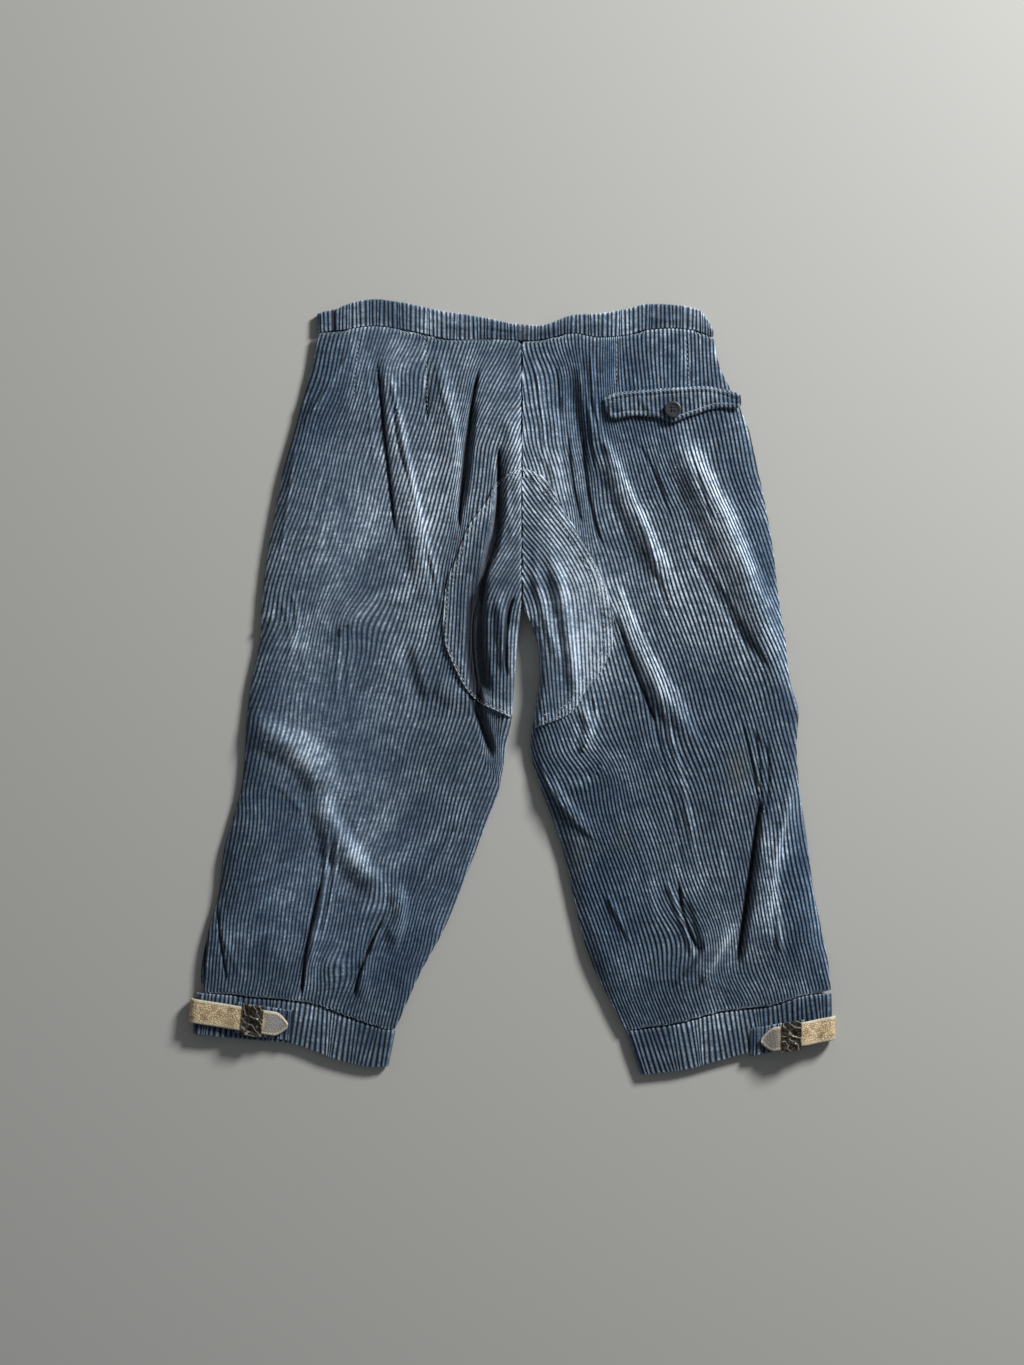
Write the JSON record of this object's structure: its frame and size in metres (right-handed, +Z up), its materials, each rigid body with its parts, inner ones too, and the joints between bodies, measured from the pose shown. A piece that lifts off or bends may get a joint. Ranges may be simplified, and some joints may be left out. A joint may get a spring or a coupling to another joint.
{
  "type": "corduroy knee breeches (shorts)",
  "caption": "Corduroy knee breeches laid flat, back up, with a waistband, darted seat, reinforced crotch, hip pocket flap and cuffs closed by a leather strap and metal buckle.",
  "frame": {"origin": "on the surface that the garment lies on, under the middle of its outline seen from above", "axes": "+X to the right as seen from above, towards the garment's right leg; +Y along the garment to the waistband; +Z up, away from the surface"},
  "size_m": [0.439, 0.5271, 0.017],
  "materials": {
    "corduroy": "faded slate-blue cotton corduroy with wide wales, worn pale on the wale tops and dark in the grooves",
    "strap": "worn tan leather, cracked, with a bare grey tip",
    "buckle": "dark aged bronze-brown metal with light scratches",
    "button": "dark grey, slightly worn"
  },
  "bodies": {
    "root": {"back_left": "corduroy", "back_right": "corduroy", "front_left": "corduroy", "front_right": "corduroy", "waistband_back_left": "corduroy", "waistband_back_right": "corduroy", "waistband_front": "corduroy", "seat_patch_left": "corduroy", "seat_patch_right": "corduroy", "pocket_flap": "corduroy", "flap_button": "button", "cuff_left": "corduroy", "cuff_right": "corduroy", "cuff_tab_left": "corduroy", "cuff_tab_right": "corduroy", "strap_left": "strap", "strap_right": "strap", "buckle_left": "buckle", "buckle_right": "buckle"}
  },
  "joints": []
}
